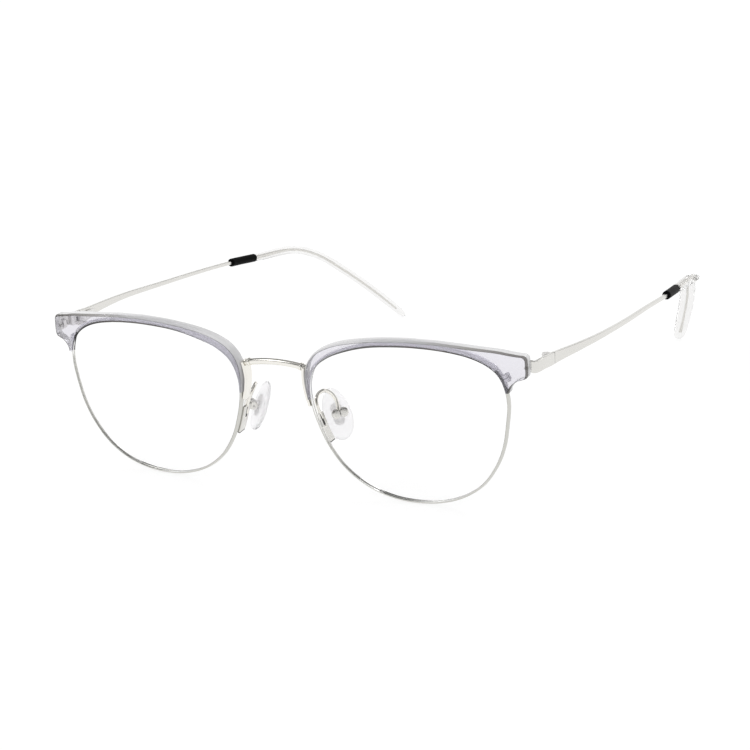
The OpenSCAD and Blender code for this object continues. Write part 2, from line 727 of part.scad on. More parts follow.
stand() right_side() sleeve();  // sleeve_right
stand() left_side() tip();  // tip_left
stand() right_side() tip();  // tip_right
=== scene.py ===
import json
import math

import bpy
import numpy as np
from mathutils import Matrix, Vector


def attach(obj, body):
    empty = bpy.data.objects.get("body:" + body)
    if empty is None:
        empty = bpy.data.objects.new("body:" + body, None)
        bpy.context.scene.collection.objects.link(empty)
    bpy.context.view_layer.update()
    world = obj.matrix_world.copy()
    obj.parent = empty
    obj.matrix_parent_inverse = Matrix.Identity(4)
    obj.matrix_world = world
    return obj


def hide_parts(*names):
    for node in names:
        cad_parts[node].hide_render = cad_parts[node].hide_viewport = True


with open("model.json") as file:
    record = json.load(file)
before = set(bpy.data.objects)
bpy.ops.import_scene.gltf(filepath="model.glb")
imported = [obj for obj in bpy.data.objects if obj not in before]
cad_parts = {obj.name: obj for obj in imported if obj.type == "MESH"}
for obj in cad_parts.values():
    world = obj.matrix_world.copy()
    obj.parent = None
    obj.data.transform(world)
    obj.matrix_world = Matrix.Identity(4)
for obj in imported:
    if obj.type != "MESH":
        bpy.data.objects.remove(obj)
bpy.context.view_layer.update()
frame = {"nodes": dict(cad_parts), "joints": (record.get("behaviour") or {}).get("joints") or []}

MM = 0.001

# Sizes in millimetres, in the front's own frame: across, back, up.
# A place on a line counts the points of that line, and a share is a part of one.
BRIDGE_WIDTH, FACE_FORM, FRONT_RADIUS = 19.0, math.radians(3), 140.0
RIM_THICK, RIM_DEPTH, RIM_CHAMFER = 0.6, 1.2, 0.06
GROOVE_DEPTH, GROOVE_WIDTH, GROOVE_FLOOR = 0.28, 0.7, 0.24
LENS_THICK, LENS_PLAY, LENS_FLAT, LENS_BEVEL = 1.5, 0.04, 0.6, 0.08
BROW_DEPTH, BROW_LIP, BROW_CHAMFER, CHAMFER_SHARE = 2.4, 0.3, 0.12, 0.3
BROW_ROUND, BROW_ROUND_SHARE, CHANNEL_PLAY = 0.5, 0.45, 0.06
# Middle line of the rim, from the temple side over the top
RIM_POINTS = np.array([
    [24.5, 0], [25.4, 6.3], [24.6, 11.2], [22.6, 14.6], [18.4, 17.2], [12.5, 18.8],
    [5.8, 19.5], [-1, 19.5], [-8, 18.8], [-14, 17.1], [-18.8, 14.9], [-22.2, 11.9],
    [-23.8, 7.4], [-23.6, 2.4], [-22.2, -2.8], [-20, -7.9], [-16.4, -12.8],
    [-11.3, -16.6], [-5.4, -18.8], [0.6, -19.5], [7, -19], [12.8, -17.1],
    [17.8, -13.6], [21.4, -8.8], [23.4, -4.4]])
RIM_INNER = 23.8
LENS_X = BRIDGE_WIDTH / 2 + RIM_INNER
# Outer edge of the brow: place along the rim, then across and up
BROW_POINTS = np.array([
    [1.68, 26.1, 9.9], [1.84, 26.8, 11], [2, 27.9, 11.8], [2.14, 29.1, 12.15],
    [2.24, 29.95, 12.5], [2.32, 30.25, 13.3], [2.44, 30.3, 14.6], [2.56, 30.25, 15.9],
    [2.66, 30.15, 16.9], [2.76, 29.55, 17.5], [2.9, 28.4, 17.7], [3.15, 26.4, 18.1],
    [3.5, 23.6, 18.7], [4, 19.8, 19.2], [4.5, 15.8, 19.7], [5, 12, 20.1],
    [5.5, 8.7, 20.4], [6, 5.5, 20.5], [6.5, 2.3, 20.6], [7, -1, 20.5], [7.5, -4.6, 20.3],
    [8, -8.2, 19.9], [8.5, -11.5, 19.4], [9, -14.7, 18.7], [9.5, -17.5, 17.8],
    [10, -20.1, 16.6], [10.35, -21.7, 15.5], [10.7, -23, 14.1], [11, -23.9, 12.7],
    [11.5, -24.7, 10.3], [12, -24.85, 7.7], [12.35, -24.6, 5.9]])
BROW_START, BROW_START_REACH, BROW_END, BROW_END_REACH = 1.52, 0.75, 12.65, 0.6
# Strips of the brow by material: front edge and bevel with painted shade, top with painted light
# and shade, and the end of the back wall with painted light
BROW_STRIPS = ((4, 4, 1), (5, 9, 4), (10, 16, 2), (19, 21, 3))
# How much further the lip reaches, by place along the rim
LIP_EXTRA = ((3, 5, 8.5, 10), (0, 0.2, 0.2, 0))
# The painted shade line at the lens's edge under the brow, by place along the rim: shift from the
# rim's line, then width
LINE_SHIFT = ((1.6, 2.1, 3.1, 4.1, 5.1, 7, 8.1, 9.1, 10.1, 11.1, 12.4),
              (0.3, -0.2, -0.35, -0.52, -0.62, -0.62, -0.6, -0.5, -0.38, -0.25, -0.2))
LINE_WIDTH = ((1.6, 2.5, 3.4, 4.4, 8, 9, 12.4), (0.3, 0.6, 0.55, 0.42, 0.45, 0.35, 0.2))
LINE_IN, LINE_SHORT, LINE_DEPTH, LINE_BACK, SHADED_RIM_END = 0.1, 0.4, 0.12, -0.3, 2.8
# The bridge's leg: across and up from the middle of the lens
LEG_POINTS = np.array([
    [-24.95, 11.75], [-25.2, 10.3], [-25.35, 8.7], [-25.35, 7.3], [-25.15, 5.8],
    [-24.9, 4.4], [-24.5, 3.1], [-24.25, 2]])
LEG_THICK, LEG_DEPTH_TOP, LEG_DEPTH_LOW, LEG_BACK = 0.7, 3.2, 2.6, 0.6
LEG_END, LEG_ROUND = 0.55, 0.17
BRIDGE_WIRE, BRIDGE_RISE, BRIDGE_HEIGHT = 1.5, 0.8, 11.05
SPREAD_START, WIRE_SPREAD, WIRE_FLATTEN, COLLAR_LIFT, COLLAR_DEEP = 0.78, 0.25, 0.06, 0.03, 1.12
# Dark seam of painted shade, and collar: place on the arc, width, radius, roundness, material
COLLARS = ((0.905, 0.05, 0.5, 0, 1), (0.87, 0.3, 0.62, 0.09, 0))
# Line of the temple from its hinge: across, back, up
TEMPLE_POINTS = np.array([
    [1.5, 0.47, -0.07], [1.7, 4.5, -0.7], [2.7, 14.5, -2.1], [3.1, 24.5, -3.6],
    [2.5, 39.5, -6.1], [1.5, 54.5, -8.5], [0.45, 68.5, -11], [-1.25, 80.5, -13.4],
    [-3.4, 95.4, -16.5], [-7.4, 102.4, -20.4], [-10.8, 109.6, -27.2], [-15.4, 117.4, -36.2],
    [-20.3, 124.5, -45.9]])
STRIP_HEIGHT, STRIP_THICK, STRIP_ROUND, STRIP_CHAMFER = 2.75, 0.9, 0.19, 0.12
# Shares of the strip's height along the temple's line
STRIP_SHARES = np.array([1, 0.88, 0.65, 0.5, 0.4, 0.35, 0.33])
STRIP_END, CORE_SLIM_START, CORE_SLIM, CORE_END, CORE_TAPER = 6.0, 7.0, 0.45, 11.72, 0.6
CORE_WIDTH, CORE_HEIGHT, CORE_FLAT, CORE_PLAY, CORE_ROUND = 1.0, 0.9, (0.7, 1.5), 0.04, 0.3
SLEEVE_START, SLEEVE_END, SLEEVE_DIA, BORE_ROUND, ROUND_POINTS = 6.06, 6.9, 2.2, 0.32, 32
# Share of the length, then of the diameter
SLEEVE_PROFILE = [
    (0.0, 0.84), (0.012, 0.95), (0.035, 1.0), (0.5, 0.99), (0.965, 1.0), (0.988, 0.95), (1.0, 0.84)]
TIP_WIDTH, TIP_THICK, TIP_START = 4.0, 2.2, (2.6, 1.9)
# Place along the temple's line, then shares of the tip's width and thickness
TIP_PROFILE = np.array([
    [7, 0.68, 0.88], [7.1, 0.74, 0.92], [7.25, 0.8, 0.94], [7.5, 0.86, 0.95], [7.75, 0.91, 0.95],
    [8, 0.95, 0.95], [8.25, 0.98, 0.95], [8.5, 1, 0.96], [8.75, 1, 0.96], [9, 1, 0.97],
    [9.25, 1, 0.97], [9.5, 1, 0.98], [9.75, 1, 0.99], [10, 1, 1], [10.25, 1, 1], [10.5, 1, 1],
    [10.75, 0.99, 1.02], [11, 0.98, 1.03], [11.25, 0.96, 1.03], [11.5, 0.92, 1.01],
    [11.7, 0.86, 0.96], [11.85, 0.75, 0.86], [11.94, 0.58, 0.68], [12, 0.3, 0.36]])
WING_CORNER, HINGE_OFFSET, HINGE_SLOPE = (30.0, 14.0), np.array([-0.1, 8.6, -1.0]), 9.0
LOCK_PLACE, LOCK_GAP, BAR_GAP = 2.2, 0.0035, 0.15
BAR_POINTS, BAR_HEIGHTS = np.array([[28.8, 14.4], [29.5, 14.4]]), [1.9, 2.4]
# The endpiece from its bend to the hinge: across, back, up
BEND_POINTS = np.array([
    [0.6, -7.7, 1.0], [1.1, -6.8, 0.9], [1.38, -5.4, 0.85], [1.48, -3.6, 0.62],
    [1.5, -1.6, 0.24], [1.5, 0.35, -0.05]])
# Bevel on the strip's outer side: in from that side, down from the top
ENDPIECE_BEVEL = ((0.22, 0), (0.1, 0.06), (0, 0.42), (0, 0.5))
# Painted shade on the inner side, where the strip turns: from, to, height of the middle, half
# height, material
ENDPIECE_SHADE_MARKS = ((2.1, 2.75, 0.35, 0.42, 1), (2.75, 4.2, 0.2, 0.22, 2))
MARK_DEPTH, MARK_PROUD = 0.1, 0.02
FOOT_START, FOOT_END, FOOT_SHIFT, FOOT_DEPTH, FOOT_GAP = 13.5, 14.8, 0.25, 2.6, 0.06
FOOT_PROFILE = [(0, 0.8), (0.02, 0.93), (0.05, 1), (0.95, 1), (0.98, 0.93), (1, 0.8)]
FOOT_SLOT_START, FOOT_SLOT_LENGTH, FOOT_SLOT_DEPTH, FOOT_SLOT_PROUD = 13.56, 0.5, 1.0, 0.03
FOOT_ROUND, CAP_SHARE, BEAD_PLACE, BEAD_RADIUS = 0.24, 0.94, 14.12, 0.47
# Place past the foot's end and share of its thickness
CAP_PROFILE = ((0, 1.04), (0.012, 1), (0.024, 0.96))
ARM_ROOT_PLACE, ARM_WIRE = 13.9, 0.9
# The pad arm's loop from its root: across, back, up
ARM_POINTS = np.array([
    [-0.15, 0.25, -0.05], [-0.5, 0.25, 1.65], [-1.1, 0.45, 3.35], [-1.6, 1.15, 4.85],
    [-1.7, 2.45, 5.75], [-1.2, 4.15, 5.95], [-0.3, 5.35, 5.05], [0.7, 5.65, 3.65],
    [1.4, 5.25, 2.15], [1.75, 4.75, 1.05]])
PAD_OFFSET, PAD_TURN, PAD_TILT, PAD_ROLL = np.array([1.3, 5.55, -0.15]), 44.0, -23.6, -5.0
PAD_HEIGHT, PAD_WIDTH, PAD_THICK, PAD_SEAT, PAD_NARROWING = 12.5, 6.75, 1.9, 1.35, 0.12
# Share of the thickness, then of the width and height
PAD_PROFILE = (
    (0, 0.3), (0, 0.62), (0, 0.80), (0.03, 0.88), (0.1, 0.95), (0.25, 0.99), (0.4, 1.0),
    (0.55, 0.985), (0.7, 0.93), (0.82, 0.83), (0.91, 0.68), (0.97, 0.48), (1.0, 0.25),
    (1.005, 0.08))
EAR_RADIUS, EAR_REACH, EAR_NARROWING, EAR_GAP = 1.15, 1.44, 0.9, 1.6
# Distance outward and share of the ear; distance back and share of the plate
EAR_PROFILE = ((0, 0.81), (0.05, 0.86), (0.48, 0.86), (0.57, 0.81), (0.6, 0.72))
PLATE_PROFILE = (
    (-0.85, 0.9), (-1.0, 1.0), (-1.3, 1.02), (-1.5, 0.98), (-1.62, 0.86), (-1.68, 0.66))
LOBE_SHIFT, LOBE_RADIUS, LOBE_TALL = 0.95, 1.08, 1.08
SLIT = ((-0.08, -0.5), (0.08, -0.5), (0.08, 0.42), (-0.08, 0.42))
SLIT_BACK, HOLE_BACK = (-1.5, -1.7), (-1.5, -1.67)
HOLE_MIDDLE, HOLE_SIZE = (-0.72, -0.3), (0.2, 0.24)
SOFT_EDGE, SOFT_ANGLE, MERGE_REACH = 0.04, 38, 0.004
# Short steps to either side of a place, which give the direction of the line there
RIM_STEP, TEMPLE_STEP, WIRE_STEP = 0.02, 0.03, 0.05

# Surfaces, and the stage in metres
NOISE_DEPTH, BLEND_REACH = 4.0, 70
FLOOR_HALF, FLOOR_GLOW, WORLD_LIGHT, LAMP_AIM = 3.0, 0.78, 0.75, (0, 0, 0.02)
# Greys of the room by height, from the horizon to straight up
ROOM_GREYS = ((0.0, 1.0), (0.36, 1.0), (0.50, 0.18), (0.70, 0.10), (0.82, 0.3), (1.0, 0.55))
# The photo's camera: eye in millimetres and its three ways, in the front's own frame
EYE = np.array([289.717, -447.053, 219.064])
RIGHT = np.array([0.87857617, 0.46491597, -0.10934827])
UP = np.array([-0.08499144, 0.3774918, 0.92210433])
VIEW = np.array([-0.46997911, 0.80084523, -0.37116918])
FOCAL_PIXELS, PHOTO_PIXELS, SENSOR, CLIP = 2479, 750, 36, (0.01, 20)


# Curves and the curved front
def blend(a, b, c, d, t):
    return 0.5 * (2 * b + (c - a) * t + (2 * a - 5 * b + 4 * c - d) * t * t
                  + (3 * b - a - 3 * c + d) * t * t * t)


def open_curve(points, s):
    """Smooth curve through the points, which runs on straight past its ends."""
    n = len(points)
    i = int(max(0, min(n - 1, math.floor(s))))
    past = 2 * points[n - 1] - points[n - 2]
    a = 2 * points[0] - points[1] if i == 0 else points[i - 1]
    c = points[i + 1] if i + 1 < n else past
    d = points[i + 2] if i + 2 < n else past
    return blend(a, points[i], c, d, s - i)


def rim_at(t):
    n = len(RIM_POINTS)
    i = int(math.floor(t))
    return blend(RIM_POINTS[(i - 1) % n], RIM_POINTS[i % n], RIM_POINTS[(i + 1) % n],
                 RIM_POINTS[(i + 2) % n], t - i)


def rim_offset(t, grow):
    d = rim_at(t + RIM_STEP) - rim_at(t - RIM_STEP)
    return rim_at(t) + grow * np.array([d[1], -d[0]]) / np.hypot(*d)


def front_point(p, back):
    y = FRONT_RADIUS - math.sqrt((FRONT_RADIUS - back) ** 2 - p[0] ** 2 - p[1] ** 2)
    return np.array([LENS_X + p[0] * math.cos(FACE_FORM) - y * math.sin(FACE_FORM),
                     p[0] * math.sin(FACE_FORM) + y * math.cos(FACE_FORM), p[1]])


def unit(v):
    return v / np.linalg.norm(v)


def turned(axis, degrees):
    return np.array(Matrix.Rotation(math.radians(degrees), 3, axis))


HINGE = front_point(WING_CORNER, BROW_DEPTH / 2) + HINGE_OFFSET
FOOT_BACK = RIM_DEPTH / 2 + FOOT_GAP + FOOT_DEPTH / 2
ARM_ROOT = front_point(rim_offset(ARM_ROOT_PLACE, FOOT_SHIFT), FOOT_BACK)
PAD_PLACE = ARM_ROOT + PAD_OFFSET
PAD_FRAME = turned("Z", PAD_TURN) @ turned("X", PAD_TILT) @ turned("Y", PAD_ROLL)

# The front's frame set into the row's frame by the left temple's joint
fold = [j for j in frame["joints"] if j["name"] == "temple_left_fold"][0]
LEAN = math.radians(HINGE_SLOPE) - math.atan2(fold["axis"][1], fold["axis"][2])
TURN = np.array([[1, 0, 0], [0, math.cos(LEAN), -math.sin(LEAN)],
                 [0, math.sin(LEAN), math.cos(LEAN)]])
SHIFT = np.array(fold["pos_m"]) / MM - TURN @ HINGE


def to_row(points, side=1):
    p = np.atleast_2d(points) @ TURN.T + SHIFT
    p[:, 0] *= side
    return p * MM


# Mesh making
def make_object(name, mesh, materials, body, side, slots=None, smooth=50):
    """Puts a mesh of the left half, or its mirror image, on its body."""
    me = bpy.data.meshes.new(name)
    verts, faces = mesh
    if side < 0:
        faces = [tuple(reversed(f)) for f in faces]
    me.from_pydata([tuple(v) for v in to_row(verts, side)], [], faces)
    me.validate()
    for m in materials:
        me.materials.append(m)
    if slots is not None:
        for poly, k in zip(me.polygons, slots):
            poly.material_index = k
    me.polygons.foreach_set("use_smooth", [True] * len(me.polygons))
    me.set_sharp_from_angle(angle=math.radians(smooth))
    ob = bpy.data.objects.new(name, me)
    bpy.context.scene.collection.objects.link(ob)
    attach(ob, body)
    return ob


def outward(verts, faces):
    """Faces turned so that the closed mesh has a positive volume."""
    total = 0.0
    for f in faces:
        a = verts[f[0]]
        for i in range(1, len(f) - 1):
            total += np.dot(a, np.cross(verts[f[i]], verts[f[i + 1]]))
    return faces if total > 0 else [tuple(reversed(f)) for f in faces]


def skin(rings, closed=False):
    """Closed mesh through rings of points: with flat ends, or with the last ring on the first."""
    n, m = len(rings[0]), len(rings)
    verts = np.array(rings, float).reshape(-1, 3)
    faces = []
    for i in range(m if closed else m - 1):
        a, b = i * n, ((i + 1) % m) * n
        for j in range(n):
            k = (j + 1) % n
            faces.append((a + j, a + k, b + k, b + j))
    if not closed:
        faces.append(tuple(range(n - 1, -1, -1)))
        faces.append(tuple((m - 1) * n + j for j in range(n)))
    return verts, outward(verts, faces)


def strip_of(f, n):
    """Which lengthwise strip of a skin of n-point rings a face lies in; -1 for a flat end."""
    if len(f) != 4:
        return -1
    corners = {i % n for i in f}
    return n - 1 if corners == {0, n - 1} else min(corners)


def join_parts(parts):
    """One mesh of several, and its material slots. Each part has one slot or a list of them."""
    verts, faces, slots, base = [], [], [], 0
    for (v, f), slot in parts:
        verts.append(v)
        faces += [tuple(i + base for i in g) for g in f]
        slots += slot if isinstance(slot, list) else [slot] * len(f)
        base += len(v)
    return (np.vstack(verts), faces), slots


def angles(n):
    return [2 * math.pi * i / n for i in range(n)]


def half_turn(steps):
    """Angles from straight down, round the right side, to straight up."""
    return [math.radians(-90 + 180 * k / steps) for k in range(steps + 1)]


def rounded(w, h, r, seg):
    """Rounded rectangle, w across and h high."""
    pts = []
    for cx, cy, a0 in ((1, 1, 0), (-1, 1, 90), (-1, -1, 180), (1, -1, 270)):
        for k in range(seg + 1):
            a = math.radians(a0 + 90 * k / seg)
            pts.append((cx * (w / 2 - r) + r * math.cos(a), cy * (h / 2 - r) + r * math.sin(a)))
    return pts


def oval(w, h, n):
    return [(w / 2 * math.cos(a), h / 2 * math.sin(a)) for a in angles(n)]


def ring(at, along, section):
    """Section square to a line, with its second way upward."""
    t = unit(along)
    up = unit(np.array([0, 0, 1]) - t[2] * t)
    side = np.cross(up, t)
    return [at + p[0] * side + p[1] * up for p in section]


def front_ring(at, ahead, section):
    """Section square to a line on the front, with its second way backward."""
    t = unit(ahead - at)
    back = unit(np.array([0, 1, 0]) - t[1] * t)
    side = np.cross(back, t)
    return [at + p[0] * side + p[1] * back for p in section]


def filled(profile, gap, count):
    """The profile's points, with every step longer than the gap cut into count parts."""
    points = []
    for (a, r0), (b, r1) in zip(profile, profile[1:]):
        m = count if b - a > gap else 1
        points += [(a + (b - a) * k / m, r0 + (r1 - r0) * k / m) for k in range(m)]
    return points + [profile[-1]]


# Materials
def wire(tree, a, b):
    tree.links.new(a, b)


def reckon(tree, operation, a, b=None):
    """Math node on an output and, if given, a number or a second output."""
    node = tree.nodes.new("ShaderNodeMath")
    node.operation = operation
    wire(tree, a, node.inputs[0])
    if isinstance(b, float):
        node.inputs[1].default_value = b
    elif b is not None:
        wire(tree, b, node.inputs[1])
    return node.outputs[0]


def mix_shader(tree, share, first, second):
    node = tree.nodes.new("ShaderNodeMixShader")
    for source, socket in zip((share, first, second), node.inputs):
        wire(tree, source, socket)
    return node.outputs[0]


def colour_ramp(tree, stops):
    """Blend through colours, each with its place from 0 to 1."""
    ramp = tree.nodes.new("ShaderNodeValToRGB")
    points = ramp.color_ramp.elements
    first, last = points
    first.position, first.color = stops[0][0], (*stops[0][1], 1)
    last.position, last.color = stops[-1][0], (*stops[-1][1], 1)
    for place, colour in stops[1:-1]:
        points.new(place).color = (*colour, 1)
    return ramp


def unevenness(t, b, scale, rough, bump):
    """Fine unevenness in roughness and height. Scale is per metre, bump in metres."""
    place = t.nodes.new("ShaderNodeTexCoord")
    noise = t.nodes.new("ShaderNodeTexNoise")
    noise.inputs["Scale"].default_value = scale
    noise.inputs["Detail"].default_value = NOISE_DEPTH
    wire(t, place.outputs["Object"], noise.inputs["Vector"])
    spread = t.nodes.new("ShaderNodeMapRange")
    spread.inputs["To Min"].default_value = rough[0]
    spread.inputs["To Max"].default_value = rough[1]
    wire(t, noise.outputs["Fac"], spread.inputs["Value"])
    wire(t, spread.outputs["Result"], b.inputs["Roughness"])
    if bump:
        height = t.nodes.new("ShaderNodeBump")
        height.inputs["Strength"].default_value = 1.0
        height.inputs["Distance"].default_value = bump
        wire(t, noise.outputs["Fac"], height.inputs["Height"])
        wire(t, height.outputs["Normal"], b.inputs["Normal"])


def see_through(t, b, tint):
    """Gives clear material a light tint for a shadow instead of a dark shape."""
    path = t.nodes.new("ShaderNodeLightPath")
    open_ = t.nodes.new("ShaderNodeBsdfTransparent")
    open_.inputs["Color"].default_value = (*tint, 1)
    mixed = mix_shader(t, path.outputs["Is Shadow Ray"], b.outputs["BSDF"], open_.outputs["BSDF"])
    wire(t, mixed, t.nodes["Material Output"].inputs["Surface"])


def across_blend(t, b, stops):
    """Colour that changes with the distance from the middle of the front, given in mm."""
    place = t.nodes.new("ShaderNodeTexCoord")
    parts = t.nodes.new("ShaderNodeSeparateXYZ")
    wire(t, place.outputs["Object"], parts.inputs[0])
    share = reckon(t, "DIVIDE", reckon(t, "ABSOLUTE", parts.outputs["X"]), BLEND_REACH * MM)
    ramp = colour_ramp(t, [(away / BLEND_REACH, colour) for away, colour in stops])
    wire(t, share, ramp.inputs["Fac"])
    wire(t, ramp.outputs["Color"], b.inputs["Base Color"])


def material(name, base, rough, fine, metallic=0.0, ior=1.5, transmission=0.0, spec=0.5,
             across=None, tint=None):
    """Principled material with unevenness, and a blend across and a clear shadow if given."""
    m = bpy.data.materials.new(name)
    m.use_nodes = True
    b = m.node_tree.nodes["Principled BSDF"]
    b.inputs["Base Color"].default_value = (*base, 1)
    b.inputs["Roughness"].default_value = rough
    b.inputs["Metallic"].default_value = metallic
    b.inputs["IOR"].default_value = ior
    b.inputs["Transmission Weight"].default_value = transmission
    b.inputs["Specular IOR Level"].default_value = spec
    unevenness(m.node_tree, b, *fine)
    if across:
        across_blend(m.node_tree, b, across)
    if tint:
        see_through(m.node_tree, b, tint)
    return m


# Metals, with darker and lighter copies of the frame metal as painted shade and highlight, painted
# gap shade and the painted shade line at the lens's edge.
# After each colour and roughness come the scale, the roughness range and the height of the
# unevenness.
silver = material("frame_metal", (0.74, 0.73, 0.70), 0.26, (700, (0.22, 0.3), 0.000001),
                  metallic=1.0)
# painted shade: a darker copy of the frame metal, for the rims
rim_silver = material("rim_metal_painted_shade", (0.64, 0.635, 0.60), 0.3, (700, (0.28, 0.36), 0.000001),
                      metallic=1.0)
# painted highlight: a lighter copy of the frame metal, for the bridge and the pad arms' wire and
# bead
bright = material("bridge_metal_painted_highlight", (0.86, 0.84, 0.79), 0.12, (500, (0.08, 0.15), 0.000001),
                  metallic=1.0)
steel = material("screw_metal", (0.5, 0.49, 0.47), 0.3, (2600, (0.22, 0.42), 0.000006),
                 metallic=1.0)
# painted shade: near black for the seams, marks, slots and holes where shade falls
gap_dark = material("gap_shadow", (0.02, 0.019, 0.017), 0.4, (1500, (0.3, 0.55), 0.000004))
# painted shade: the dark line where the brow's channel meets the lens, grey near the middle and
# near black towards the temple
painted_line_shade = material(
    "painted_shade_edge_line", (0.05, 0.048, 0.045), 0.32, (1200, (0.25, 0.45), 0.000004),
    across=((9, (0.42, 0.42, 0.43)), (14, (0.2, 0.2, 0.2)), (22, (0.11, 0.108, 0.105)),
            (42, (0.12, 0.11, 0.1)), (54, (0.03, 0.028, 0.03)), (60, (0.015, 0.014, 0.016))))

# The brow's clear acetate, and copies of it with painted light and shade for its top, front edge,
# bevel and lip
face = material("acetate_face", (0.86, 0.85, 0.895), 0.05, (260, (0.01, 0.04), 0.000001),
                ior=1.07, transmission=0.88, tint=(0.88, 0.88, 0.9))
# painted light and shade: the top darker near the middle and lighter towards the temple
top = material(
    "acetate_top_painted_light_and_shade", (0.80, 0.795, 0.79), 0.1, (300, (0.08, 0.16), 0.000004),
    ior=1.3, transmission=0.25, tint=(0.88, 0.88, 0.9),
    across=((30, (0.76, 0.76, 0.76)), (44, (0.9, 0.9, 0.9)), (60, (0.94, 0.94, 0.94))))
# painted shade: the front edge dark, lightest about 32 mm out and darkest at the temple end
edge = material(
    "acetate_edge_painted_shade", (0.5, 0.5, 0.5), 0.1, (300, (0.08, 0.16), 0.000004),
    ior=1.3, transmission=0.3, tint=(0.8, 0.8, 0.82),
    across=((10, (0.26, 0.26, 0.27)), (20, (0.42, 0.42, 0.43)), (32, (0.62, 0.62, 0.62)),
            (44, (0.5, 0.49, 0.48)), (52, (0.2, 0.19, 0.18)), (60, (0.1, 0.095, 0.09))))
# painted shade: the bevel darker towards the temple
bevel = material(
    "acetate_bevel_painted_shade", (0.7, 0.7, 0.7), 0.1, (300, (0.08, 0.16), 0.000004),
    ior=1.3, transmission=0.3, tint=(0.84, 0.84, 0.86),
    across=((20, (0.84, 0.84, 0.84)), (38, (0.7, 0.7, 0.69)), (50, (0.36, 0.35, 0.33)),
            (60, (0.2, 0.19, 0.18))))
# painted light: a pale, nearly opaque copy of the acetate on the lip's end and on the rim under the
# brow
lip_painted_light = material("acetate_lip_painted_light", (0.97, 0.965, 0.985), 0.35, (400, (0.3, 0.45), 0.000004),
                     ior=1.12, transmission=0.25)

# Tips, pads and lenses
clear_tip = material("clear_tip", (0.95, 0.945, 0.94), 0.15, (200, (0.1, 0.16), 0.0000005),
                     ior=1.05, transmission=0.9, tint=(0.94, 0.94, 0.94))
pad_soft = material("pad_silicone", (0.985, 0.98, 0.99), 0.3, (420, (0.25, 0.4), 0.000008),
                    ior=1.12, transmission=0.82, tint=(0.95, 0.95, 0.95))
lens_glass = material("lens", (1, 1, 1), 0.004, (60, (0.0, 0.008), 0),
                      ior=1.12, transmission=1.0, tint=(0.99, 0.99, 0.99))

# Small hardware, and the sleeve
insert_metal = material("insert_metal", (0.98, 0.975, 0.975), 0.5,
                        (1800, (0.42, 0.6), 0.000006), ior=1.12, transmission=0.55)
hidden_metal = material("lock_metal", (0.8, 0.79, 0.83), 0.5, (1800, (0.42, 0.6), 0.000004),
                        metallic=0.2)
# painted shade: dark brown metal for the shaded bar on the endpiece's inner side
painted_shade_bar = material("painted_shade_bar", (0.2, 0.18, 0.15), 0.4, (1800, (0.35, 0.5), 0.000004),
                        metallic=0.5)
hinge_metal = material("hinge_metal", (0.93, 0.92, 0.9), 0.45, (1800, (0.38, 0.55), 0.000006),
                       metallic=0.6)
sleeve_black = material("black_sleeve", (0.001, 0.001, 0.0012), 0.5,
                        (900, (0.42, 0.58), 0.000003), spec=0.06)


# Rims: a grooved wire round each lens, split at the lock
def rim_section():
    """Round outer side, then the groove that holds the lens."""
    half_t, half_d, c = RIM_THICK / 2, RIM_DEPTH / 2, RIM_CHAMFER
    outer = [(half_t * math.cos(a), half_d * math.sin(a)) for a in half_turn(6)]
    floor = -half_t + GROOVE_DEPTH
    return [(-half_t + c, -half_d)] + outer + [
        (-half_t + c, half_d), (-half_t, half_d - c), (-half_t, GROOVE_WIDTH / 2),
        (floor, GROOVE_FLOOR / 2), (floor, -GROOVE_FLOOR / 2),
        (-half_t, -GROOVE_WIDTH / 2), (-half_t, -half_d + c)]


def rim_piece(side, word):
    whole, steps, section = len(RIM_POINTS), 300, rim_section()
    places = [(LOCK_PLACE + LOCK_GAP + (whole - 2 * LOCK_GAP) * i / steps) % whole
              for i in range(steps + 1)]
    hoop = skin([[front_point(rim_offset(t, u), v) for u, v in section] for t in places])
    hoop_slots = []
    for f in hoop[1]:
        place, strip = places[min(f) // len(section)], strip_of(f, len(section))
        covered = strip >= 0 and BROW_START < place < BROW_END
        # near the temple end the covered rim takes the painted shade line's colour, except on part
        # of its outer round
        dark = covered and place < SHADED_RIM_END and not 3 <= strip <= 8
        hoop_slots.append(2 if dark else int(covered))
    # painted shade: a dark line under the brow's lip where the channel is in shade, darker towards
    # the temple
    line, steps = [], 160
    for i in range(steps + 1):
        t = BROW_START + LINE_IN + (BROW_END - LINE_SHORT - BROW_START) * i / steps
        u, w, h = np.interp(t, *LINE_SHIFT), np.interp(t, *LINE_WIDTH) / 2, LINE_DEPTH / 2
        line.append([front_point(rim_offset(t, u + x), y + LINE_BACK)
                     for x, y in ((-w, h), (-w, -h), (w, -h), (w, h))])
    mesh, slots = join_parts([(hoop, hoop_slots), (skin(line), 2)])
    ob = make_object("rim_" + word + "_wire", mesh, [rim_silver, lip_painted_light, painted_line_shade],
                     "front", side, slots)
    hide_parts("rim_" + word)


def lens_piece(side, word):
    """Front and back faces on spheres, with the bevel that sits in the groove."""
    count, whole = 200, len(RIM_POINTS)
    shrink = (1.0, 0.97, 0.88, 0.72, 0.5, 0.25)
    flat, tip = [[rim_offset(whole * i / count, grow - RIM_THICK / 2 - LENS_PLAY)
                  for i in range(count)] for grow in (0, GROOVE_DEPTH)]
    rings = [[front_point(p * s, -LENS_THICK / 2) for p in flat] for s in reversed(shrink)]
    for line, back in ((flat, -LENS_FLAT / 2), (tip, -LENS_BEVEL / 2),
                       (tip, LENS_BEVEL / 2), (flat, LENS_FLAT / 2)):
        rings.append([front_point(p, back) for p in line])
    rings += [[front_point(p * s, LENS_THICK / 2) for p in flat] for s in shrink]
    ob = make_object("lens_" + word + "_glass", skin(rings), [lens_glass], "front", side,
                     smooth=40)
    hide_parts("lens_" + word)


